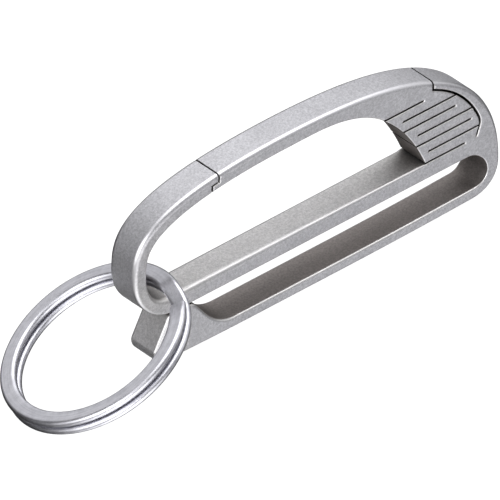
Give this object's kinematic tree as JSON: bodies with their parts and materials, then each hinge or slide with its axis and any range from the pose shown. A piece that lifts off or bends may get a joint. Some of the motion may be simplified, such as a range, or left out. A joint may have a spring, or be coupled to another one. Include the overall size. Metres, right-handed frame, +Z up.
{
  "type": "belt key clip",
  "caption": "Titanium belt clip with a sprung carabiner gate cut from one flat plate, and a split key ring hung on its hook.",
  "frame": {"origin": "middle of the flat stretch of the lower bar's underside, at the middle of the plate's thickness", "axes": "+X along the bars from the hook to the spring head, +Y through the plate to its back face, +Z up from the lower bar to the arch"},
  "size_m": [0.0938, 0.0306, 0.03],
  "materials": {
    "titanium": "bead-blasted titanium, matt grey with polished edges",
    "ring_steel": "flat sides brushed, round edges polished"
  },
  "bodies": {
    "frame": {"frame": "titanium"},
    "gate": {"gate": "titanium", "gate_spring": "titanium"},
    "belt_bar": {"belt_bar": "titanium"},
    "split_ring": {"split_ring": "ring_steel"}
  },
  "joints": [
    {"name": "gate_hinge", "type": "hinge", "parent": "frame", "child": "gate", "pos_m": [0.02815, 0, 0.0183], "axis": [0, -1, 0], "range_deg": [0, 8], "stiffness_Nm_per_rad": 0.6, "deforming": ["gate_spring"]},
    {"name": "belt_bar_hinge", "type": "hinge", "parent": "frame", "child": "belt_bar", "pos_m": [0.0338, 0, 0.0005], "axis": [0, -1, 0], "range_deg": [0, 4], "stiffness_Nm_per_rad": 1},
    {"name": "ring_swing", "type": "hinge", "parent": "frame", "child": "split_ring", "pos_m": [-0.02654, 0, 0.01466], "axis": [0, 1, 0], "range_deg": [-100, 150]}
  ]
}
